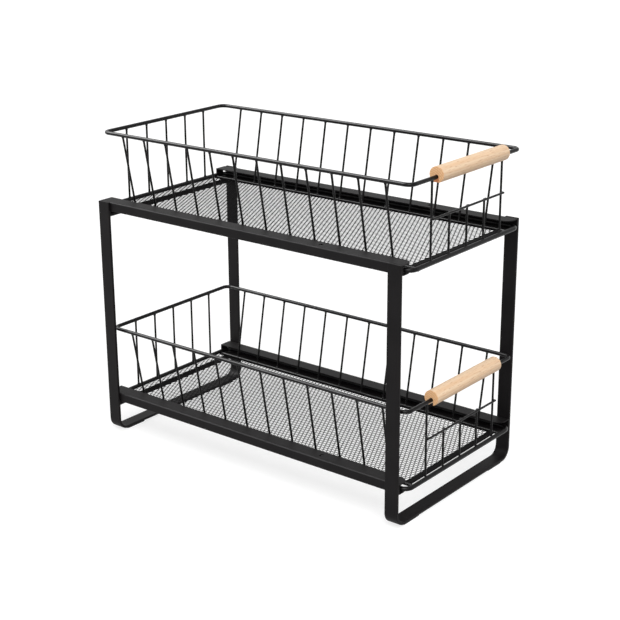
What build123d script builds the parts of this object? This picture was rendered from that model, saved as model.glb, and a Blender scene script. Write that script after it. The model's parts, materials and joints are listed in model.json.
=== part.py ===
"""Two-tier drawer organiser: a flat-bar stand with two wire baskets that slide out on rails.

Millimetres. +Z is up, the handles face -Y, and left (-X) and right (+X) are as seen from the front.
The origin is on the floor, under the middle of the whole object's bounding box.
"""

import os
from math import hypot

from build123d import *

os.makedirs("parts", exist_ok=True)

# Stand: two U-frames of flat bar
stand_width = 222.0
stand_depth = 420.0
bar_width = 16.0
bar_thickness = 3.0
bar_edge_radius = 0.5
bend_radius = 14.0  # outside of the bend
pad_length = 30.0
pad_thickness = 1.5
pad_margin = 1.0  # from the bar's edges
pad_corner_radius = 3.0

# Rails: folded channels, open inwards, between the front and rear legs
lower_rail_top = 50.0  # above the floor
tier_pitch = 234.0
rail_height = 11.0
rail_width = 18.0
rail_sheet = 1.0
rail_fold_radius = 1.0  # on the middle of the sheet
flange_corner_radius = 10.0
rear_tab_width = 12.0
rear_tab_floor_gap = 1.0
stop_tab_setback = 110.0  # from the rail's front end to the back of the punched tab
stop_tab_width = 5.0
stop_tab_runner_gap = 0.4
stop_slot_length = 4.0
tie_rod_diameter = 6.0
tie_rod_clearance = 2.4  # under the baskets' rods

# Baskets: wire loops, rods and uprights
basket_front_overhang = 3.0  # rim's centre line past the front legs
runner_front_step = 1.5  # runner's front run past the rim's
runner_diameter = 5.0
runner_corner_radius = 10.0
running_clearance = 0.3
runner_side_clearance = 3.75
runner_rear_clearance = 0.5
rim_diameter = 4.3
rim_rise = 78.0  # rim's centre line above the rail's top
rim_corner_radius = 8.0
rod_diameter = 3.6
rod_rail_clearance = 3.5
rod_drop = 2.0  # rod's centre line under the runner's
wire_diameter = 2.4
side_wire_count = 12
side_wire_margin = 30.2  # from the front and back runs to the nearest side wire
upright_count = 5
upright_margin = 35.75  # from the side runs to the nearest upright
mid_wire_height = 45.0  # above the runner's centre line
mid_wire_overhang = 1.2  # past the posts
short_wire_excess = 0.4  # above the mid wire's centre line
weld_gap = 0.1

# Basket floor: expanded metal in a flat hem on three sides
hem_side_width = 2.2
hem_front_width = 6.5
hem_front_gap = 5.0  # behind the runner's front run
hem_drop = 1.5  # hem's middle under the runner's centre line
hem_thickness = 2.0
hem_corner_radius = 3.0
mesh_thickness = 1.0
mesh_strand_width = 2.0
mesh_columns = 5
mesh_rows = 29

# Handle: a slotted dowel on the front of the rim
handle_diameter = 16.5
handle_post_shortfall = 6.0  # shorter than the posts' span
handle_shift = 4.5  # right of the middle: the dowel can slide along the rim
handle_lift = 2.2  # dowel's axis above the rim's centre line
handle_slot_clearance = 0.25
handle_end_chamfer = 0.8

# Stop nubs: blocks on the runner that meet the punched tabs
nub_width = 4.0
nub_length = 5.0
nub_corner_radius = 0.8
nub_corner_gap = 10.5  # from the start of the runner's rear corner
nub_flange_gap = 0.5
stop_clearance = 0.5

overrun = 1.0  # of every cut

# Places worked out from those sizes
handle_reach = basket_front_overhang + handle_diameter / 2
stand_back = (stand_depth + handle_reach) / 2
stand_front = stand_back - stand_depth
stand_height = lower_rail_top + tier_pitch
leg_inner = stand_width / 2 - bar_thickness
rail_inner = leg_inner - rail_width

runner_half = leg_inner - rail_sheet - runner_side_clearance - runner_diameter / 2
front_run = stand_front - basket_front_overhang
runner_front = front_run - runner_front_step
back_run = stand_back - rail_sheet - runner_rear_clearance - runner_diameter / 2
basket_middle = (front_run + back_run) / 2
basket_depth = back_run - front_run
rod_half = rail_inner - rod_rail_clearance - rod_diameter / 2

upright_pitch = 2 * (runner_half - upright_margin) / (upright_count - 1)
post_span = (upright_count - 1) * upright_pitch
handle_length = post_span - handle_post_shortfall
side_wire_pitch = (basket_depth - 2 * side_wire_margin) / (side_wire_count - 1)

stop_tab_back = stand_front + stop_tab_setback
nub_back = back_run - runner_corner_radius - nub_corner_gap
drawer_travel = nub_back - nub_length - stop_tab_back - stop_clearance

sides = {"left": -1, "right": 1}
tiers = {"upper": stand_height, "lower": lower_rail_top}


def save(piece: BuildPart, node: str) -> None:
    """Label a finished piece with its node's name and write its STEP file."""
    piece.part.label = node
    export_step(piece.part, f"parts/{node}.step")


def u_frame(back: float) -> BuildPart:
    """Flat bar bent to a U: two legs and the floor bar between them, with its rear edge at back."""
    leg_middle = stand_width / 2 - bar_thickness / 2
    floor_middle = pad_thickness + bar_thickness / 2
    with BuildPart() as frame:
        with BuildSketch(Plane.XZ.offset(-back)):
            with BuildLine():
                FilletPolyline(
                    (-leg_middle, stand_height),
                    (-leg_middle, floor_middle),
                    (leg_middle, floor_middle),
                    (leg_middle, stand_height),
                    radius=bend_radius - bar_thickness / 2,
                )
            trace(line_width=bar_thickness)
        extrude(amount=bar_width)
        edge_faces = frame.faces().filter_by(Axis.Y).sort_by(Axis.Y)
        fillet(edge_faces[0].edges() + edge_faces[-1].edges(), bar_edge_radius)
    return frame


def rail(side: int, top: float) -> BuildPart:
    """Folded channel that is open inwards, with a rear end tab and a punched stop tab."""
    web_middle = side * (leg_inner - rail_sheet / 2)
    flange_edge = side * rail_inner
    top_middle = top - rail_sheet / 2
    bottom_middle = top - rail_height + rail_sheet / 2
    flange_underside = top - rail_sheet
    channel_floor = top - rail_height + rail_sheet
    runner_top = channel_floor + running_clearance + runner_diameter
    with BuildPart() as channel:
        with BuildSketch(Plane.XZ.offset(-stand_back)):
            with BuildLine():
                FilletPolyline(
                    (flange_edge, top_middle),
                    (web_middle, top_middle),
                    (web_middle, bottom_middle),
                    (flange_edge, bottom_middle),
                    radius=rail_fold_radius,
                )
            trace(line_width=rail_sheet)
        extrude(amount=stand_depth)
        front_uprights = channel.edges().filter_by(Axis.Z).group_by(Axis.Y)[0]
        fillet(front_uprights.sort_by(SortBy.LENGTH)[:2], flange_corner_radius)

        # Rear end tab, folded down from the top flange
        rear_tab_bottom = channel_floor + rear_tab_floor_gap
        with BuildSketch(Plane.XZ.offset(-stand_back)):
            with Locations((flange_edge + side * rear_tab_width / 2, (top + rear_tab_bottom) / 2)):
                Rectangle(rear_tab_width, top - rear_tab_bottom)
        extrude(amount=rail_sheet)

        # Slot that the stop tab is punched from, and the tab behind it
        tab_middle = side * (rail_inner + rail_width / 2)
        with BuildSketch(Plane.XY.offset(top)):
            with Locations((tab_middle, stop_tab_back - rail_sheet - stop_slot_length / 2)):
                Rectangle(stop_tab_width, stop_slot_length)
        extrude(amount=-(rail_sheet + overrun), mode=Mode.SUBTRACT)
        with BuildSketch(Plane.XY.offset(flange_underside)):
            with Locations((tab_middle, stop_tab_back - rail_sheet / 2)):
                Rectangle(stop_tab_width, rail_sheet)
        extrude(amount=-(flange_underside - runner_top - stop_tab_runner_gap))
    return channel


def wire_loop(diameter: float, corner_radius: float, front: float, height: float) -> BuildPart:
    """Closed loop of round wire with rounded corners, as wide as a basket."""
    with BuildPart() as loop:
        with BuildLine(Plane.XY.offset(height)) as path:
            FilletPolyline(
                (runner_half, front),
                (runner_half, back_run),
                (-runner_half, back_run),
                (-runner_half, front),
                radius=corner_radius,
                close=True,
            )
        with BuildSketch(Plane(origin=path.line @ 0, z_dir=path.line % 0)):
            Circle(diameter / 2)
        sweep()
    return loop


def uprights(places: list[tuple[float, float]], bottom: float, top: float) -> BuildPart:
    """Thin vertical wires at the given places."""
    with BuildPart() as wires:
        with BuildSketch(Plane.XY.offset(bottom)):
            with Locations(places):
                Circle(wire_diameter / 2)
        extrude(amount=top - bottom)
    return wires


# Stand
save(u_frame(stand_front + bar_width), "front_u_frame")
save(u_frame(stand_back), "rear_u_frame")

with BuildPart() as foot_pads:
    pad_x = stand_width / 2 - bend_radius - pad_length / 2
    pad_ys = (stand_front + bar_width / 2, stand_back - bar_width / 2)
    with BuildSketch():
        with Locations([(side * pad_x, pad_y) for side in sides.values() for pad_y in pad_ys]):
            RectangleRounded(pad_length, bar_width - 2 * pad_margin, pad_corner_radius)
    extrude(amount=pad_thickness)
save(foot_pads, "foot_pads")

for tier, rail_top in tiers.items():
    # What belongs to the stand
    for side_name, side in sides.items():
        save(rail(side, rail_top), f"{tier}_{side_name}_rail")

    runner_z = rail_top - rail_height + rail_sheet + running_clearance + runner_diameter / 2
    rod_z = runner_z - rod_drop
    tie_rod_y = stand_back - bar_width / 2
    tie_rod_z = rod_z - rod_diameter / 2 - tie_rod_clearance - tie_rod_diameter / 2
    with BuildPart() as tie_rod:
        with BuildSketch(Plane.YZ.offset(-leg_inner)):
            with Locations((tie_rod_y, tie_rod_z)):
                Circle(tie_rod_diameter / 2)
        extrude(amount=2 * leg_inner)
    save(tie_rod, f"{tier}_rear_tie_rod")

    # Heights in the basket
    runner_top = runner_z + runner_diameter / 2
    rim_z = rail_top + rim_rise
    mid_wire_z = runner_z + mid_wire_height
    upright_bottom = runner_top + weld_gap
    upright_top = rim_z - rim_diameter / 2 - weld_gap

    save(wire_loop(rim_diameter, rim_corner_radius, front_run, rim_z), f"{tier}_rim_wire")
    runner_loop = wire_loop(runner_diameter, runner_corner_radius, runner_front, runner_z)
    save(runner_loop, f"{tier}_runner_loop")

    # Rods between the runner loop's front and back runs
    inside_front = runner_front + runner_diameter / 2 + weld_gap
    inside_back = back_run - runner_diameter / 2 - weld_gap
    for side_name, side in sides.items():
        with BuildPart() as base_rod:
            with BuildSketch(Plane.XZ.offset(-inside_back)):
                with Locations((side * rod_half, rod_z)):
                    Circle(rod_diameter / 2)
            extrude(amount=inside_back - inside_front)
        save(base_rod, f"{tier}_{side_name}_base_rod")

    # Side wires, leaning out from the rods to the rim
    lean = Vector(runner_half - rod_half, 0, rim_z - rod_z)
    foot_share = (rod_diameter / 2 + weld_gap) / lean.length
    side_wire_length = lean.length - (rod_diameter + rim_diameter) / 2 - 2 * weld_gap
    for side_name, side in sides.items():
        wire_foot = (side * (rod_half + foot_share * lean.X), basket_middle, rod_z + foot_share * lean.Z)
        wire_plane = Plane(origin=wire_foot, x_dir=(0, 1, 0), z_dir=(side * lean.X, 0, lean.Z))
        with BuildPart() as side_wires:
            with BuildSketch(wire_plane):
                with GridLocations(side_wire_pitch, side_wire_pitch, side_wire_count, 1):
                    Circle(wire_diameter / 2)
            extrude(amount=side_wire_length)
        save(side_wires, f"{tier}_{side_name}_side_wires")

    # Uprights at the back and the front, and the cross wire lapped before the front ones
    upright_xs = [index * upright_pitch - post_span / 2 for index in range(upright_count)]
    back_places = [(x, back_run) for x in upright_xs]
    front_places = [(x, front_run) for x in upright_xs]
    short_top = mid_wire_z + short_wire_excess
    save(uprights(back_places, upright_bottom, upright_top), f"{tier}_back_wires")
    save(uprights([front_places[0], front_places[-1]], upright_bottom, upright_top), f"{tier}_front_posts")
    save(uprights(front_places[1:-1], upright_bottom, short_top), f"{tier}_front_short_wires")

    mid_wire_half = post_span / 2 + mid_wire_overhang
    with BuildPart() as mid_wire:
        with BuildSketch(Plane.YZ.offset(-mid_wire_half)):
            with Locations((front_run - wire_diameter - weld_gap, mid_wire_z)):
                Circle(wire_diameter / 2)
        extrude(amount=2 * mid_wire_half)
    save(mid_wire, f"{tier}_front_mid_wire")

    # Floor: a hem at the front and along the rods, and expanded metal from there to the back run
    hem_half = rod_half - rod_diameter / 2 - weld_gap
    hem_front = runner_front + runner_diameter / 2 + hem_front_gap
    mesh_front = hem_front + hem_front_width
    floor_z = runner_z - hem_drop
    mesh_width = 2 * (hem_half - hem_side_width)
    mesh_depth = inside_back - mesh_front
    mesh_middle = (0, (mesh_front + inside_back) / 2)
    with BuildPart() as hem:
        with BuildSketch(Plane.XY.offset(floor_z - hem_thickness / 2)):
            with Locations((0, (hem_front + inside_back) / 2)):
                Rectangle(2 * hem_half, inside_back - hem_front)
            with Locations(mesh_middle):
                Rectangle(mesh_width, mesh_depth, mode=Mode.SUBTRACT)
        extrude(amount=hem_thickness)
        front_corners = hem.edges().filter_by(Axis.Z).group_by(Axis.Y)[0]
        fillet(front_corners, hem_corner_radius)
    save(hem, f"{tier}_mesh_hem_frame")

    long_way = (mesh_width - mesh_strand_width) / mesh_columns
    short_way = (mesh_depth - mesh_strand_width) / mesh_rows
    half_strand_share = mesh_strand_width * hypot(long_way, short_way) / (long_way * short_way)
    gap_long = long_way * (1 - half_strand_share) / 2
    gap_short = short_way * (1 - half_strand_share) / 2
    diamond = ((gap_long, 0), (0, gap_short), (-gap_long, 0), (0, -gap_short))
    with BuildPart() as mesh:
        with BuildSketch(Plane(origin=(*mesh_middle, floor_z - mesh_thickness / 2))):
            Rectangle(mesh_width, mesh_depth)
            with GridLocations(long_way, short_way, mesh_columns, mesh_rows):
                Polygon(*diamond, mode=Mode.SUBTRACT)
            with GridLocations(long_way, short_way, mesh_columns - 1, mesh_rows - 1):
                Polygon(*diamond, mode=Mode.SUBTRACT)
        extrude(amount=mesh_thickness)
    save(mesh, f"{tier}_mesh_floor")

    # Handle: a dowel with a slot from below that the rim sits in
    handle_z = rim_z + handle_lift
    slot_width = rim_diameter + 2 * handle_slot_clearance
    slot_depth = rim_z - (handle_z - handle_diameter / 2) + overrun
    with BuildPart() as handle:
        with BuildSketch(Plane.YZ.offset(handle_shift - handle_length / 2)):
            with Locations((front_run, handle_z)):
                Circle(handle_diameter / 2)
            with Locations((front_run, rim_z)):
                Circle(slot_width / 2, mode=Mode.SUBTRACT)
            with Locations((front_run, rim_z - slot_depth / 2)):
                Rectangle(slot_width, slot_depth, mode=Mode.SUBTRACT)
        extrude(amount=handle_length)
        end_faces = handle.faces().filter_by(Axis.X)
        end_arcs = end_faces.edges().filter_by(GeomType.CIRCLE).group_by(SortBy.RADIUS)[-1]
        chamfer(end_arcs, handle_end_chamfer)
    save(handle, f"{tier}_handle")

    # Stop nubs on the runner's long sides
    nub_top = rail_top - rail_sheet - nub_flange_gap
    with BuildPart() as stop_nubs:
        with BuildSketch(Plane.XY.offset(runner_top + weld_gap)):
            with Locations([(side * runner_half, nub_back - nub_length / 2) for side in sides.values()]):
                RectangleRounded(nub_width, nub_length, nub_corner_radius)
        extrude(amount=nub_top - runner_top - weld_gap)
    save(stop_nubs, f"{tier}_stop_nubs")

print(f"drawer travel {drawer_travel:.2f} mm")
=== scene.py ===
"""Looks of the two-tier drawer organiser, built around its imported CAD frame.

Metres. +Z is up, the handles face -Y, and left (-X) and right (+X) are as seen from the front.
"""

import json
import logging
from dataclasses import dataclass, field
from enum import Enum
from math import asin, ceil, cos, pi, radians, sin, tau

import bmesh
import bpy
from mathutils import Matrix, Vector


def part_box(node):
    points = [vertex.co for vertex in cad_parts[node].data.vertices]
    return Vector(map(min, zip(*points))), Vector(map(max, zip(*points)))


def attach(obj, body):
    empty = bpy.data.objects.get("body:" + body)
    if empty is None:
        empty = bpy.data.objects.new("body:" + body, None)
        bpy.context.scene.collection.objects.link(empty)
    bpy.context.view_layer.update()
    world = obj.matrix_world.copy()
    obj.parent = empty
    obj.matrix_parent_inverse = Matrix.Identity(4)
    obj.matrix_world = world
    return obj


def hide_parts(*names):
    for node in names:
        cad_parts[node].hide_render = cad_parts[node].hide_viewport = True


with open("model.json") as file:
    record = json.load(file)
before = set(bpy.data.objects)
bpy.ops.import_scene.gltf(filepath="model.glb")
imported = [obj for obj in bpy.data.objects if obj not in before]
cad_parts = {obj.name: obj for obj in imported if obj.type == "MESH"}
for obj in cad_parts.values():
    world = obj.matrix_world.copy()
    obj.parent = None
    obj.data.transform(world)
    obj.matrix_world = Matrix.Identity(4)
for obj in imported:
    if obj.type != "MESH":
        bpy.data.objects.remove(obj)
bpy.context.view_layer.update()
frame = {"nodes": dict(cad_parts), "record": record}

log = logging.getLogger("organiser")

MM = 0.001
STAND = "stand"
STEEL_SLOT = "black_steel"
RUBBER_SLOT = "foot_rubber"
WIRE_PIECES = (
    "rim_wire", "runner_loop", "base_rod", "side_wires", "back_wires", "front_posts", "front_short_wires",
    "front_mid_wire")
FLOOR_PIECES = ("mesh_hem_frame",)
WHITE = (1.0, 1.0, 1.0, 1.0)
WAVE_RATE = 20.0  # radians of a wave texture for one unit of its scale times the distance
END_NORMAL = 0.99  # least X part of the normal of a dowel's flat end
ROUND_PROFILE = 0.5  # of a bevel


class Tier(Enum):
    """The two baskets, by the word that starts the names of their nodes."""

    UPPER = "upper"
    LOWER = "lower"

    @property
    def body(self) -> str:
        """Name of the CAD body that this basket's pieces ride on."""
        return f"{self.value}_drawer"

    def node(self, piece: str) -> str:
        """Name of one of this tier's CAD nodes."""
        return f"{self.value}_{piece}"


def linear(code: str) -> tuple[float, float, float, float]:
    """Turn an sRGB hex colour into linear RGBA.

    Args:
        code: Colour as "#rrggbb".

    Returns:
        Linear red, green and blue, and an alpha of one.
    """
    parts = [int(code[start:start + 2], 16) / 255 for start in (1, 3, 5)]
    red, green, blue = (
        part / 12.92 if part <= 0.04045 else ((part + 0.055) / 1.055) ** 2.4
        for part in parts)
    return red, green, blue, 1.0


def add_node(
    tree: bpy.types.NodeTree,
    kind: str,
    inputs: dict[str | int, object] | None = None,
    stops: tuple[tuple[float, str], ...] = (),
    **settings: object,
) -> bpy.types.Node:
    """Add a node with its settings, input values and links.

    Args:
        tree: Shader or geometry tree that gets the node.
        kind: Blender's type name of the node.
        inputs: Values by the name or number of the input. A socket is linked, and so is a node, by its
            first output.
        stops: Place from 0 to 1 and sRGB hex colour of both stops of a colour ramp.
        settings: Properties of the node by name.

    Returns:
        The new node.
    """
    node = tree.nodes.new(kind)
    for name, value in settings.items():
        setattr(node, name, value)
    for number, (place, code) in enumerate(stops):
        node.color_ramp.elements[number].position = place
        node.color_ramp.elements[number].color = linear(code)
    for key, value in (inputs or {}).items():
        if isinstance(value, bpy.types.Node):
            value = next(output for output in value.outputs if output.enabled)
        if isinstance(value, bpy.types.NodeSocket):
            tree.links.new(value, node.inputs[key])
        else:
            node.inputs[key].default_value = value
    return node


def empty_tree(owner: bpy.types.Material | bpy.types.World) -> bpy.types.NodeTree:
    """Give a material or world a node tree without nodes.

    Args:
        owner: Material or world.

    Returns:
        Its tree.
    """
    owner.use_nodes = True
    owner.node_tree.nodes.clear()
    return owner.node_tree


def add_object(name: str, data: bpy.types.ID) -> bpy.types.Object:
    """Put a mesh, lamp or camera into the scene.

    Args:
        name: Name of the object.
        data: What it shows.

    Returns:
        The object, at the origin.
    """
    item = bpy.data.objects.new(name, data)
    bpy.context.scene.collection.objects.link(item)
    return item


def new_surface(name: str) -> tuple[bpy.types.Material, bpy.types.NodeTree, bpy.types.Node]:
    """Start a material that has a Principled shader on its output.

    Args:
        name: Name of the material.

    Returns:
        The material, its emptied node tree and the shader node.
    """
    material = bpy.data.materials.new(name)
    tree = empty_tree(material)
    shader = add_node(tree, "ShaderNodeBsdfPrincipled")
    add_node(tree, "ShaderNodeOutputMaterial", {"Surface": shader.outputs["BSDF"]})
    return material, tree, shader


def object_mm(
    tree: bpy.types.NodeTree, centre: Vector = Vector(), stretch: Vector = Vector((1, 1, 1))
) -> bpy.types.NodeSocket:
    """Object coordinates in millimetres from a centre.

    Args:
        tree: Shader tree that reads them.
        centre: Point, in metres, that becomes zero.
        stretch: How much longer the pattern becomes along each axis.

    Returns:
        The vector socket.
    """
    place = add_node(tree, "ShaderNodeTexCoord")
    scale = Vector([1 / MM / part for part in stretch])
    shift = Vector([-part * times for part, times in zip(centre, scale)])
    inputs = {"Vector": place.outputs["Object"], "Location": shift, "Scale": scale}
    return add_node(tree, "ShaderNodeMapping", inputs).outputs["Vector"]


@dataclass(frozen=True)
class PowderCoat:
    """Epoxy powder coat baked on steel.

    To the eye: a matt black that greys where a face turns to the light, with soft, uneven shine. On wire
    the coat flows out smoother, so that wire looks blacker, with a narrow line of light along it. The
    duller copy on the mesh of the floors and their hems has a darker colour that is painted shade, so that
    they look blackest.
    """

    name: str
    dark: str = "#0c0a0b"
    light: str = "#131112"
    roughness_low: float = 0.48
    roughness_high: float = 0.60
    specular: float = 0.11
    cloud_mm: float = 30.0
    cloud_detail: float = 4.0
    cloud_dark: float = 0.35
    cloud_light: float = 0.65
    peel_mm: float = 1.1  # real peel is near 0.4 mm: drawn coarser, so that it shows
    peel_detail: float = 2.0
    peel_low: float = 0.3
    peel_high: float = 0.7
    peel_depth: float = 0.02 * MM

    def material(self) -> bpy.types.Material:
        """Build the coat: a cloudy near-black, uneven gloss and a fine bumpy skin.

        Returns:
            The material.
        """
        material, tree, shader = new_surface(self.name)
        place = object_mm(tree)
        cloud = add_node(tree, "ShaderNodeTexNoise", {
            "Vector": place, "Scale": 1 / self.cloud_mm, "Detail": self.cloud_detail})
        stops = ((self.cloud_dark, self.dark), (self.cloud_light, self.light))
        tint = add_node(tree, "ShaderNodeValToRGB", {"Fac": cloud}, stops)
        peel = add_node(tree, "ShaderNodeTexNoise", {
            "Vector": place, "Scale": 1 / self.peel_mm, "Detail": self.peel_detail})
        gloss = add_node(tree, "ShaderNodeMapRange", {
            "Value": peel.outputs["Fac"], "From Min": self.peel_low, "From Max": self.peel_high,
            "To Min": self.roughness_low, "To Max": self.roughness_high})
        skin = add_node(tree, "ShaderNodeBump", {
            "Height": peel.outputs["Fac"], "Distance": self.peel_depth, "Strength": 1.0})
        tree.links.new(tint.outputs["Color"], shader.inputs["Base Color"])
        tree.links.new(gloss.outputs["Result"], shader.inputs["Roughness"])
        tree.links.new(skin.outputs["Normal"], shader.inputs["Normal"])
        shader.inputs["Specular IOR Level"].default_value = self.specular
        return material


@dataclass(frozen=True)
class SandedBeech:
    """Turned and sanded beech.

    To the eye: creamy side grain with faint streaks and short brown flecks, and warmer, darker ends.
    """

    name: str
    centre: Vector
    half_length: float
    pith: Vector = field(default_factory=lambda: Vector((0, 0.009, -0.014)))  # from the dowel's middle
    pale: str = "#ecd1b2"
    warm: str = "#e3be99"
    fleck: str = "#c08a66"
    end_pale: str = "#f0c497"
    end_warm: str = "#dca46f"
    roughness: float = 0.55
    specular: float = 0.3
    ring_mm: float = 2.2
    ring_stretch: float = 25.0
    ring_distortion: float = 2.5
    ring_detail: float = 3.0
    ring_detail_scale: float = 0.6
    ring_weight: float = 0.35  # in the grain, where the streaks have one
    streak_mm: float = 1.6
    streak_stretch: float = 45.0
    streak_detail: float = 5.0
    grain_pale: float = 0.40
    grain_warm: float = 0.95
    grain_depth: float = 0.03 * MM
    fleck_mm: float = 0.8  # real flecks are near 0.3 mm wide: drawn wider, so that they show
    fleck_stretch: float = 9.0
    fleck_detail: float = 1.0
    fleck_low: float = 0.60
    fleck_high: float = 0.72
    fleck_share: float = 0.55  # of the fleck's colour in its middle
    end_depth_mm: float = 0.35

    def material(self) -> bpy.types.Material:
        """Build the wood: growth rings about the pith, long streaks, flecks and darker ends.

        Returns:
            The material.
        """
        material, tree, shader = new_surface(self.name)
        along_rings = object_mm(tree, self.centre + self.pith, Vector((self.ring_stretch, 1, 1)))
        rings = add_node(tree, "ShaderNodeTexWave", {
            "Vector": along_rings, "Scale": tau / WAVE_RATE / self.ring_mm,
            "Distortion": self.ring_distortion, "Detail": self.ring_detail,
            "Detail Scale": self.ring_detail_scale}, wave_type="RINGS", rings_direction="X")
        along_streaks = object_mm(tree, self.centre, Vector((self.streak_stretch, 1, 1)))
        streaks = add_node(tree, "ShaderNodeTexNoise", {
            "Vector": along_streaks, "Scale": 1 / self.streak_mm, "Detail": self.streak_detail})
        grain = add_node(tree, "ShaderNodeMath", {
            0: rings.outputs["Fac"], 1: self.ring_weight, 2: streaks.outputs["Fac"],
        }, operation="MULTIPLY_ADD")
        side_stops = ((self.grain_pale, self.pale), (self.grain_warm, self.warm))
        side = add_node(tree, "ShaderNodeValToRGB", {"Fac": grain}, side_stops)
        end_stops = ((self.grain_pale, self.end_pale), (self.grain_warm, self.end_warm))
        ends = add_node(tree, "ShaderNodeValToRGB", {"Fac": grain}, end_stops)

        along_flecks = object_mm(tree, self.centre, Vector((self.fleck_stretch, 1, 1)))
        flecks = add_node(tree, "ShaderNodeTexNoise", {
            "Vector": along_flecks, "Scale": 1 / self.fleck_mm, "Detail": self.fleck_detail})
        share = add_node(tree, "ShaderNodeMapRange", {
            "Value": flecks.outputs["Fac"], "From Min": self.fleck_low, "From Max": self.fleck_high,
            "To Max": self.fleck_share})
        flecked = add_node(tree, "ShaderNodeMix", {
            0: share.outputs["Result"], 6: side.outputs["Color"], 7: linear(self.fleck)}, data_type="RGBA")

        from_middle = add_node(tree, "ShaderNodeSeparateXYZ", {"Vector": object_mm(tree, self.centre)})
        reach = add_node(tree, "ShaderNodeMath", {0: from_middle.outputs["X"]}, operation="ABSOLUTE")
        end_start = self.half_length / MM - self.end_depth_mm
        at_end = add_node(tree, "ShaderNodeMath", {
            0: reach.outputs["Value"], 1: end_start}, operation="GREATER_THAN")
        colour = add_node(tree, "ShaderNodeMix", {
            0: at_end.outputs["Value"], 6: flecked.outputs[2], 7: ends.outputs["Color"]}, data_type="RGBA")
        relief = add_node(tree, "ShaderNodeBump", {
            "Height": grain.outputs["Value"], "Distance": self.grain_depth, "Strength": 1.0})
        tree.links.new(colour.outputs[2], shader.inputs["Base Color"])
        tree.links.new(relief.outputs["Normal"], shader.inputs["Normal"])
        shader.inputs["Roughness"].default_value = self.roughness
        shader.inputs["Specular IOR Level"].default_value = self.specular
        return material


@dataclass(frozen=True)
class FootRubber:
    """Stamped rubber sheet.

    To the eye: a dull black without shine, with a fine, dry, pitted skin.
    """

    name: str = "black_rubber_sheet"
    dark: str = "#131313"
    light: str = "#1d1d1c"
    roughness: float = 0.85
    pit_mm: float = 0.7
    pit_detail: float = 3.0
    pit_dark: float = 0.4
    pit_light: float = 0.6
    pit_depth: float = 0.04 * MM

    def material(self) -> bpy.types.Material:
        """Build the rubber: a fine speckle in colour and height.

        Returns:
            The material.
        """
        material, tree, shader = new_surface(self.name)
        pits = add_node(tree, "ShaderNodeTexNoise", {
            "Vector": object_mm(tree), "Scale": 1 / self.pit_mm, "Detail": self.pit_detail})
        stops = ((self.pit_dark, self.dark), (self.pit_light, self.light))
        tint = add_node(tree, "ShaderNodeValToRGB", {"Fac": pits}, stops)
        skin = add_node(tree, "ShaderNodeBump", {
            "Height": pits.outputs["Fac"], "Distance": self.pit_depth, "Strength": 1.0})
        tree.links.new(tint.outputs["Color"], shader.inputs["Base Color"])
        tree.links.new(skin.outputs["Normal"], shader.inputs["Normal"])
        shader.inputs["Roughness"].default_value = self.roughness
        return material


def new_geometry_tree(name: str, sizes: dict[str, str]) -> tuple[bpy.types.NodeTree, bpy.types.Node]:
    """Start a geometry tree with named inputs.

    Args:
        name: Name of the tree.
        sizes: Socket type of each input by its name.

    Returns:
        The tree and its group input node.
    """
    tree = bpy.data.node_groups.new(name, "GeometryNodeTree")
    tree.interface.new_socket("Geometry", in_out="OUTPUT", socket_type="NodeSocketGeometry")
    tree.interface.new_socket("Geometry", in_out="INPUT", socket_type="NodeSocketGeometry")
    for size, kind in sizes.items():
        tree.interface.new_socket(size, in_out="INPUT", socket_type=kind)
    return tree, add_node(tree, "NodeGroupInput")


def end_geometry_tree(
    tree: bpy.types.NodeTree, grown: bpy.types.NodeSocket, finish: bpy.types.NodeSocket
) -> None:
    """End a geometry tree in real geometry that carries its finish.

    Args:
        tree: Tree to end.
        grown: Geometry that may still hold instances.
        finish: Material socket.
    """
    real = add_node(tree, "GeometryNodeRealizeInstances", {"Geometry": grown})
    dressed = add_node(tree, "GeometryNodeSetMaterial", {
        "Geometry": real.outputs["Geometry"], "Material": finish})
    add_node(tree, "NodeGroupOutput", {"Geometry": dressed.outputs["Geometry"]})


def grow(
    name: str, base: bpy.types.Mesh, tree: bpy.types.NodeTree, values: dict[str, object]
) -> bpy.types.Object:
    """Run a geometry tree once and keep its result as a plain mesh.

    Args:
        name: Name of the new piece.
        base: Mesh that the tree starts from.
        tree: Geometry tree.
        values: Value of each of the tree's inputs by name.

    Returns:
        The piece, at the origin and with no modifier.
    """
    piece = add_object(name, base)
    modifier = piece.modifiers.new(tree.name, "NODES")
    modifier.node_group = tree
    for item in tree.interface.items_tree:
        if item.in_out == "INPUT" and item.name in values:
            modifier[item.identifier] = values[item.name]
    depsgraph = bpy.context.evaluated_depsgraph_get()
    mesh = bpy.data.meshes.new_from_object(piece.evaluated_get(depsgraph), depsgraph=depsgraph)
    mesh.name = name
    piece.modifiers.remove(modifier)
    piece.data = mesh
    bpy.data.meshes.remove(base)
    return piece


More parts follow.
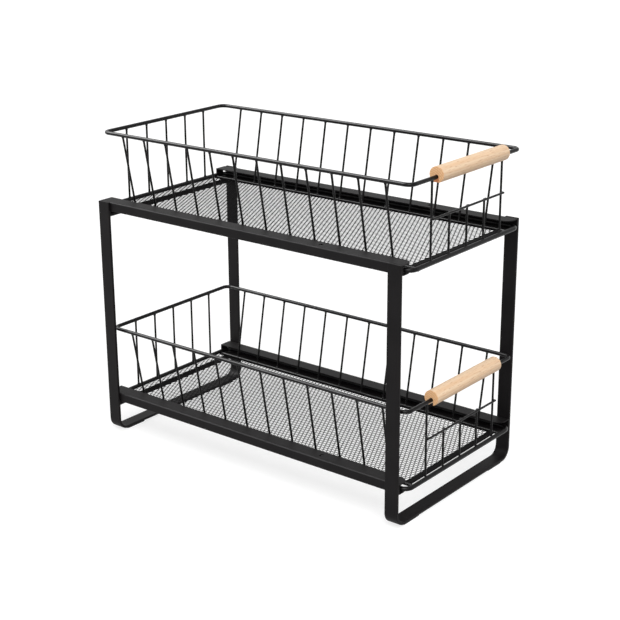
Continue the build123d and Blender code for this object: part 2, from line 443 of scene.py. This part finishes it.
@dataclass
class ExpandedMetal:
    """Expanded-metal floor: slit sheet pulled into rows of diamonds, its edges held in the hem."""

    short_way: float = 4.95 * MM
    half_columns: int = 32
    hem_grip: float = 0.4 * MM  # of the strands' ends in the hem
    bond_radius: float = 3.0 * MM
    strand_width: float = 0.7 * MM
    strand_thickness: float = 0.5 * MM
    strand_tilt: float = radians(-16)

    def tree(self) -> bpy.types.NodeTree:
        """Build the tree: one zigzag ribbon, copied in rows of which every other one is turned over.

        Returns:
            The geometry tree.
        """
        tree, sizes = new_geometry_tree("expanded metal", {
            "Bonds": "NodeSocketInt", "First Bond": "NodeSocketVector", "Bond Step": "NodeSocketVector",
            "Swing": "NodeSocketFloat", "Bond Radius": "NodeSocketFloat", "Strand Width": "NodeSocketFloat",
            "Strand Thickness": "NodeSocketFloat", "Tilt": "NodeSocketFloat", "Rows": "NodeSocketInt",
            "First Row": "NodeSocketVector", "Row Step": "NodeSocketVector",
            "Finish": "NodeSocketMaterial"})
        size = sizes.outputs
        index = add_node(tree, "GeometryNodeInputIndex")
        odd = add_node(tree, "ShaderNodeMath", {0: index, 1: 2.0}, operation="MODULO")

        # Ribbon: the bonds lie by turns at its two edges, and each is a flattened corner of the zigzag
        side = add_node(tree, "ShaderNodeMath", {0: odd, 1: 0.5}, operation="SUBTRACT")
        across = add_node(tree, "ShaderNodeMath", {0: side, 1: size["Swing"]}, operation="MULTIPLY")
        shift = add_node(tree, "ShaderNodeCombineXYZ", {"Y": across})
        bonds = add_node(tree, "GeometryNodeMeshLine", {
            "Count": size["Bonds"], "Start Location": size["First Bond"], "Offset": size["Bond Step"]})
        zigzag = add_node(tree, "GeometryNodeSetPosition", {"Geometry": bonds, "Offset": shift})
        path = add_node(tree, "GeometryNodeMeshToCurve", {"Mesh": zigzag})
        flattened = add_node(tree, "GeometryNodeFilletCurve", {
            "Curve": path, "Count": 1, "Radius": size["Bond Radius"]}, mode="POLY")
        level = add_node(tree, "GeometryNodeSetCurveNormal", {"Curve": flattened})
        tilted = add_node(tree, "GeometryNodeSetCurveTilt", {"Curve": level, "Tilt": size["Tilt"]})
        section = add_node(tree, "GeometryNodeCurvePrimitiveQuadrilateral", {
            "Width": size["Strand Width"], "Height": size["Strand Thickness"]})
        ribbon = add_node(tree, "GeometryNodeCurveToMesh", {
            "Curve": tilted, "Profile Curve": section, "Fill Caps": True})

        # Rows: turned over, every other ribbon meets its neighbours at the bonds
        half_turn = add_node(tree, "ShaderNodeMath", {0: odd, 1: pi}, operation="MULTIPLY")
        turn = add_node(tree, "ShaderNodeCombineXYZ", {"X": half_turn})
        rows = add_node(tree, "GeometryNodeMeshLine", {
            "Count": size["Rows"], "Start Location": size["First Row"], "Offset": size["Row Step"]})
        sheet = add_node(tree, "GeometryNodeInstanceOnPoints", {
            "Points": rows, "Instance": ribbon, "Rotation": turn})
        end_geometry_tree(tree, sheet.outputs["Instances"], size["Finish"])
        return tree

    def build(self, tier: Tier, tree: bpy.types.NodeTree, finish: bpy.types.Material) -> bpy.types.Object:
        """Make one basket's floor in the place of its CAD net.

        Args:
            tier: Basket that the floor belongs to.
            tree: This class's geometry tree.
            finish: Material of the floor.

        Returns:
            The floor, riding on its basket.
        """
        low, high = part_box(tier.node("mesh_floor"))
        middle = (low + high) / 2
        half_width = (high.x - low.x) / 2 + self.hem_grip
        row_pitch = self.short_way / 2
        rows = ceil((high.y - low.y) / row_pitch)
        floor = grow(tier.node("expanded_metal"), bpy.data.meshes.new("start"), tree, {
            "Bonds": self.half_columns + 1,
            "First Bond": Vector((-half_width, 0, 0)),
            "Bond Step": Vector((2 * half_width / self.half_columns, 0, 0)),
            "Swing": row_pitch - self.strand_width,
            "Bond Radius": self.bond_radius,
            "Strand Width": self.strand_width,
            "Strand Thickness": self.strand_thickness,
            "Tilt": self.strand_tilt,
            "Rows": rows,
            "First Row": Vector((middle.x, high.y - (rows - 0.5) * row_pitch, middle.z)),
            "Row Step": Vector((0, row_pitch, 0)),
            "Finish": finish})
        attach(floor, tier.body)
        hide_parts(tier.node("mesh_floor"))
        return floor


@dataclass
class Welds:
    """Small resistance-weld beads where the wires meet."""

    side_wires: int = 12
    uprights: int = 5  # at the back, and at the front with its posts
    posts: int = 2
    swell: float = 1.3  # of the thinner wire's radius
    tie_swell: float = 1.15
    tie_inset: float = 1.2 * MM  # of a bead's middle from the tie rod's end
    rise: float = 0.3 * MM  # of a bead's middle over the thicker wire
    unevenness: float = 0.08
    seed: int = 3

    def tree(self) -> bpy.types.NodeTree:
        """Build the tree: a bead on every point, each a little different in size.

        Returns:
            The geometry tree.
        """
        tree, sizes = new_geometry_tree("weld beads", {
            "Unevenness": "NodeSocketFloat", "Seed": "NodeSocketInt", "Finish": "NodeSocketMaterial"})
        size = sizes.outputs
        bead = add_node(tree, "GeometryNodeMeshIcoSphere", {"Radius": 1.0, "Subdivisions": 2})
        smooth = add_node(tree, "GeometryNodeSetShadeSmooth", {0: bead.outputs["Mesh"]})
        radius = add_node(
            tree, "GeometryNodeInputNamedAttribute", {"Name": "bead_radius"}, data_type="FLOAT")
        least = add_node(tree, "ShaderNodeMath", {0: 1.0, 1: size["Unevenness"]}, operation="SUBTRACT")
        most = add_node(tree, "ShaderNodeMath", {0: 1.0, 1: size["Unevenness"]}, operation="ADD")
        share = add_node(tree, "FunctionNodeRandomValue", {
            2: least.outputs["Value"], 3: most.outputs["Value"], "Seed": size["Seed"]}, data_type="FLOAT")
        scale = add_node(tree, "ShaderNodeMath", {
            0: radius.outputs["Attribute"], 1: share.outputs[1]}, operation="MULTIPLY")
        beads = add_node(tree, "GeometryNodeInstanceOnPoints", {
            "Points": size["Geometry"], "Instance": smooth.outputs[0], "Scale": scale.outputs["Value"]})
        end_geometry_tree(tree, beads.outputs["Instances"], size["Finish"])
        return tree

    def spread(self, node: str, count: int) -> list[Vector]:
        """Middles of a node's alike vertical wires, spread evenly along X.

        Args:
            node: CAD node that holds the wires.
            count: Number of wires.

        Returns:
            One point for each wire, at mid height.
        """
        low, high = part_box(node)
        radius = (high.y - low.y) / 2
        first, last = low.x + radius, high.x - radius
        middle = (low + high) / 2
        return [
            Vector((first + (last - first) * step / (count - 1), middle.y, middle.z))
            for step in range(count)]

    def basket_places(self, tier: Tier) -> list[tuple[Vector, float]]:
        """Middle and radius of every bead of a basket.

        Args:
            tier: Basket that the beads belong to.

        Returns:
            Middle and radius of each bead.
        """
        places = []
        rim_low, rim_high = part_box(tier.node("rim_wire"))
        rim_radius = (rim_high.z - rim_low.z) / 2
        back_low, back_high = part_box(tier.node("back_wires"))
        wire_radius = (back_high.y - back_low.y) / 2
        wire_bead = self.swell * wire_radius

        for side, rim_x in (("left", rim_low.x + rim_radius), ("right", rim_high.x - rim_radius)):
            rod_low, rod_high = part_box(tier.node(f"{side}_base_rod"))
            rod_radius = (rod_high.z - rod_low.z) / 2
            rod_middle = (rod_low + rod_high) / 2
            wires_low, wires_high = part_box(tier.node(f"{side}_side_wires"))
            first, last = wires_low.y + wire_radius, wires_high.y - wire_radius
            for step in range(self.side_wires):
                y = first + (last - first) * step / (self.side_wires - 1)
                foot = Vector((rod_middle.x, y, rod_middle.z))
                top = Vector((rim_x, y, (rim_low.z + rim_high.z) / 2))
                lean = (top - foot).normalized()
                places.append((foot + lean * (rod_radius + self.rise), wire_bead))
                places.append((top - lean * (rim_radius + self.rise), wire_bead))
            for rod_end in (rod_low.y, rod_high.y):
                places.append((Vector((rod_middle.x, rod_end, rod_middle.z)), self.swell * rod_radius))

        short_wires = self.uprights - self.posts
        for node, count, reaches_rim in (
            ("back_wires", self.uprights, True),
            ("front_posts", self.posts, True),
            ("front_short_wires", short_wires, False),
        ):
            low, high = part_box(tier.node(node))
            for middle in self.spread(tier.node(node), count):
                places.append((Vector((middle.x, middle.y, low.z + self.rise)), wire_bead))
                if reaches_rim:
                    places.append((Vector((middle.x, middle.y, high.z - self.rise)), wire_bead))

        mid_low, mid_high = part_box(tier.node("front_mid_wire"))
        mid_wire = (mid_low + mid_high) / 2
        for node, count in (("front_posts", self.posts), ("front_short_wires", short_wires)):
            for middle in self.spread(tier.node(node), count):
                lap = Vector((middle.x, (middle.y + mid_wire.y) / 2, mid_wire.z))
                places.append((lap, wire_bead))
        return places

    def stand_places(self) -> list[tuple[Vector, float]]:
        """Middle and radius of the beads at the tie rods' ends.

        Returns:
            Middle and radius of each bead.
        """
        places = []
        for tier in Tier:
            low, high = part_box(tier.node("rear_tie_rod"))
            middle = (low + high) / 2
            radius = (high.z - low.z) / 2
            for x in (low.x + self.tie_inset, high.x - self.tie_inset):
                places.append((Vector((x, middle.y, middle.z)), self.tie_swell * radius))
        return places

    def build(
        self, name: str, body: str, places: list[tuple[Vector, float]], tree: bpy.types.NodeTree,
        finish: bpy.types.Material,
    ) -> bpy.types.Object:
        """Make the beads of one body.

        Args:
            name: Name of the piece.
            body: CAD body that it rides on.
            places: Middle and radius of each bead.
            tree: This class's geometry tree.
            finish: Material of the beads.

        Returns:
            The beads as one piece.
        """
        base = bpy.data.meshes.new("start")
        base.from_pydata([place for place, radius in places], [], [])
        radii = base.attributes.new("bead_radius", "FLOAT", "POINT")
        radii.data.foreach_set("value", [radius for place, radius in places])
        beads = grow(name, base, tree, {"Unevenness": self.unevenness, "Seed": self.seed, "Finish": finish})
        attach(beads, body)
        return beads


@dataclass
class DowelHandle:
    """Wooden dowel with a slot from below that the rim sits in, and eased edges."""

    slot_clearance: float = 0.25 * MM
    end_easing: float = 0.9 * MM
    mouth_easing: float = 0.4 * MM
    arc_steps: int = 64
    slot_steps: int = 14
    easing_steps: int = 4

    def outline(self, radius: float, slot_radius: float, slot_drop: float) -> list[tuple[float, float]]:
        """Slotted circle, anticlockwise in Y and Z about the dowel's axis.

        Args:
            radius: Of the dowel.
            slot_radius: Half of the slot's width.
            slot_drop: Of the middle of the slot's round top below the axis.

        Returns:
            Points of the closed outline.
        """
        mouth = asin(slot_radius / radius)
        start, turn = mouth - pi / 2, tau - 2 * mouth
        points = []
        for step in range(self.arc_steps + 1):
            angle = start + turn * step / self.arc_steps
            points.append((radius * cos(angle), radius * sin(angle)))
        for step in range(self.slot_steps + 1):
            angle = pi - pi * step / self.slot_steps
            points.append((slot_radius * cos(angle), slot_radius * sin(angle) - slot_drop))
        return points

    def ease(self, shape: bmesh.types.BMesh, edges: list[bmesh.types.BMEdge], offset: float) -> None:
        """Round off some edges.

        Args:
            shape: Dowel in the making.
            edges: Edges to round off.
            offset: Distance from the edge at which the rounding starts.
        """
        bmesh.ops.bevel(
            shape, geom=edges, offset=offset, segments=self.easing_steps, profile=ROUND_PROFILE,
            affect="EDGES", clamp_overlap=True)

    def build(self, tier: Tier) -> bpy.types.Object:
        """Make one basket's handle in the place of its CAD dowel.

        Args:
            tier: Basket that the handle belongs to.

        Returns:
            The handle, riding on its basket.
        """
        low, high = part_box(tier.node("handle"))
        rim_low, rim_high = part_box(tier.node("rim_wire"))
        radius = (high.y - low.y) / 2
        centre = Vector(((low.x + high.x) / 2, (low.y + high.y) / 2, high.z - radius))
        rim_radius = (rim_high.z - rim_low.z) / 2
        slot_drop = centre.z - (rim_low.z + rim_high.z) / 2
        outline = self.outline(radius, rim_radius + self.slot_clearance, slot_drop)

        shape = bmesh.new()
        rings = [
            [shape.verts.new((x, centre.y + y, centre.z + z)) for y, z in outline]
            for x in (low.x, high.x)]
        count = len(outline)
        for step in range(count):
            after = (step + 1) % count
            shape.faces.new((rings[0][step], rings[1][step], rings[1][after], rings[0][after]))
        shape.faces.new(rings[0])
        shape.faces.new(list(reversed(rings[1])))
        bmesh.ops.recalc_face_normals(shape, faces=shape.faces)
        mouth_edges = [shape.edges.get((rings[0][step], rings[1][step])) for step in (0, self.arc_steps)]
        self.ease(shape, mouth_edges, self.mouth_easing)
        ends = [face for face in shape.faces if abs(face.normal.x) > END_NORMAL]
        end_edges = list({edge for face in ends for edge in face.edges})
        self.ease(shape, end_edges, self.end_easing)
        for face in shape.faces:
            face.smooth = abs(face.normal.x) < END_NORMAL
        mesh = bpy.data.meshes.new(tier.node("dowel"))
        shape.to_mesh(mesh)
        shape.free()
        wood = SandedBeech(f"sanded_beech_{tier.value}", centre, (high.x - low.x) / 2)
        mesh.materials.append(wood.material())
        handle = add_object(tier.node("dowel"), mesh)
        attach(handle, tier.body)
        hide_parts(tier.node("handle"))
        return handle


@dataclass
class Studio:
    """White floor, soft light from above and the front, a strip lamp behind, and the photo's camera."""

    floor_half: float = 20.0
    floor_colour: str = "#b0b0b0"
    floor_glow: float = 0.67
    sky_strength: float = 0.45
    sun_strength: float = 1.45
    sun_spread: float = radians(36)
    sun_from: Vector = field(default_factory=lambda: Vector((-0.5, -0.4, 1.0)))
    fill_strength: float = 1.2
    fill_spread: float = radians(25)
    fill_from: Vector = field(default_factory=lambda: Vector((-1.0, -0.7, 0.85)))
    strip_strength: float = 8.0
    strip_spread: float = radians(45)
    strip_from: Vector = field(default_factory=lambda: Vector((-0.3, 0.65, 0.7)))
    camera_place: Vector = field(default_factory=lambda: Vector((-1.17643, -0.93869, 0.68243)))
    camera_azimuth: float = radians(-50.2645)
    camera_elevation: float = radians(18.7665)
    camera_roll: float = radians(-0.7262)
    lens: float = 81.43
    shift: tuple[float, float] = (0.04756, -0.00549)

    def seen_directly(self, tree: bpy.types.NodeTree) -> bpy.types.NodeSocket:
        """Tell the rays that show a thing from the rays that light by it.

        Args:
            tree: Tree of the thing's material or of the world.

        Returns:
            Socket that is one for camera, glossy and transmission rays, and zero for the others.
        """
        path = add_node(tree, "ShaderNodeLightPath").outputs
        either = add_node(tree, "ShaderNodeMath", {
            0: path["Is Camera Ray"], 1: path["Is Glossy Ray"]}, operation="MAXIMUM")
        any_of_three = add_node(tree, "ShaderNodeMath", {
            0: either.outputs["Value"], 1: path["Is Transmission Ray"]}, operation="MAXIMUM")
        return any_of_three.outputs["Value"]

    def build_floor(self) -> bpy.types.Object:
        """Make the floor: it keeps the shadow, and glows to white only where it is seen.

        Returns:
            The floor, as a thing of the stage.
        """
        half = self.floor_half
        corners = [(-half, -half, 0), (half, -half, 0), (half, half, 0), (-half, half, 0)]
        mesh = bpy.data.meshes.new("studio_floor")
        mesh.from_pydata(corners, [], [(0, 1, 2, 3)])
        material = bpy.data.materials.new("white_studio_floor")
        tree = empty_tree(material)
        matt = add_node(tree, "ShaderNodeBsdfDiffuse", {"Color": linear(self.floor_colour)})
        strength = add_node(tree, "ShaderNodeMath", {
            0: self.seen_directly(tree), 1: self.floor_glow}, operation="MULTIPLY")
        glow = add_node(tree, "ShaderNodeEmission", {"Strength": strength.outputs["Value"]})
        both = add_node(tree, "ShaderNodeAddShader", {0: matt.outputs["BSDF"], 1: glow.outputs["Emission"]})
        add_node(tree, "ShaderNodeOutputMaterial", {"Surface": both.outputs["Shader"]})
        mesh.materials.append(material)
        floor = add_object("studio_floor", mesh)
        return floor

    def build_light(self) -> None:
        """Make the sky, white where it is seen, and three lamps.

        One lamp is above, one fills from the front, and a strip behind only shows as a line of light along
        shiny wires.
        """
        world = bpy.data.worlds.new("studio_sky")
        bpy.context.scene.world = world
        tree = empty_tree(world)
        lit = add_node(tree, "ShaderNodeBackground", {"Color": WHITE, "Strength": self.sky_strength})
        seen = add_node(tree, "ShaderNodeBackground", {"Color": WHITE, "Strength": 1.0})
        mix = add_node(tree, "ShaderNodeMixShader", {
            0: self.seen_directly(tree), 1: lit.outputs["Background"], 2: seen.outputs["Background"]})
        add_node(tree, "ShaderNodeOutputWorld", {"Surface": mix.outputs["Shader"]})
        for name, strength, spread, direction, shadow, lights_matt in (
            ("overhead_softbox", self.sun_strength, self.sun_spread, self.sun_from, True, True),
            ("fill_softbox", self.fill_strength, self.fill_spread, self.fill_from, False, True),
            ("strip_softbox", self.strip_strength, self.strip_spread, self.strip_from, True, False),
        ):
            lamp = bpy.data.lights.new(name, "SUN")
            lamp.energy = strength
            lamp.angle = spread
            lamp.use_shadow = shadow
            softbox = add_object(name, lamp)
            softbox.visible_diffuse = lights_matt
            softbox.rotation_euler = direction.to_track_quat("Z", "Y").to_euler()

    def build_camera(self) -> None:
        """Make the camera at the photograph's viewpoint."""
        azimuth, elevation = self.camera_azimuth, self.camera_elevation
        flat = cos(elevation)
        back = Vector((sin(azimuth) * flat, -cos(azimuth) * flat, sin(elevation)))
        right = Vector((0, 0, 1)).cross(back).normalized()
        up = back.cross(right)
        turn = Matrix((right, up, back)).transposed().to_4x4() @ Matrix.Rotation(self.camera_roll, 4, "Z")
        data = bpy.data.cameras.new("photo_camera")
        data.lens = self.lens
        data.shift_x, data.shift_y = self.shift
        camera = add_object("photo_camera", data)
        camera.matrix_world = Matrix.Translation(self.camera_place) @ turn
        bpy.context.scene.camera = camera

    def build(self) -> None:
        """Make the floor, the light and the camera."""
        self.build_floor()
        self.build_light()
        self.build_camera()
        bpy.context.scene.view_settings.view_transform = "Standard"


def dress_nodes(
    by_slot: dict[str, bpy.types.Material], by_piece: dict[tuple[str, ...], bpy.types.Material]
) -> None:
    """Give every CAD node that still shows its finish.

    Args:
        by_slot: Finish by the record's slot name.
        by_piece: Finish by the words that end a node's name, for pieces with a finish of their own.
    """
    for part in frame["record"]["subparts"]:
        finish = by_slot.get(part["material_slot"])
        for endings, own_finish in by_piece.items():
            if part["node"].endswith(endings):
                finish = own_finish
        if finish:
            for slot in frame["nodes"][part["node"]].material_slots:
                slot.material = finish


def main() -> None:
    """Build the organiser's pieces in order."""
    logging.basicConfig(level=logging.INFO, format="%(name)s: %(message)s")
    steel = PowderCoat("matt_black_powder_coat").material()
    wire = PowderCoat(
        "satin_black_powder_coat", dark="#060506", light="#0b0a0b",
        roughness_low=0.26, roughness_high=0.34, specular=0.16).material()
    # Duller copy for the floors' mesh and hems: its darker colour is painted shade that keeps them blackest
    # under light.
    dull_and_painted_shade = PowderCoat(
        "dull_black_coat_with_painted_shade", dark="#050405", light="#090809",
        roughness_low=0.60, roughness_high=0.70, specular=0.04).material()
    rubber = FootRubber().material()
    dress_nodes({STEEL_SLOT: steel, RUBBER_SLOT: rubber}, {WIRE_PIECES: wire, FLOOR_PIECES: dull_and_painted_shade})

    metal, welds, dowel = ExpandedMetal(), Welds(), DowelHandle()
    metal_tree, weld_tree = metal.tree(), welds.tree()
    pieces = [welds.build("stand_welds", STAND, welds.stand_places(), weld_tree, steel)]
    for tier in Tier:
        pieces.append(metal.build(tier, metal_tree, dull_and_painted_shade))
        places = welds.basket_places(tier)
        pieces.append(welds.build(tier.node("welds"), tier.body, places, weld_tree, wire))
        pieces.append(dowel.build(tier))
    Studio().build()


if __name__ == "__main__":
    main()
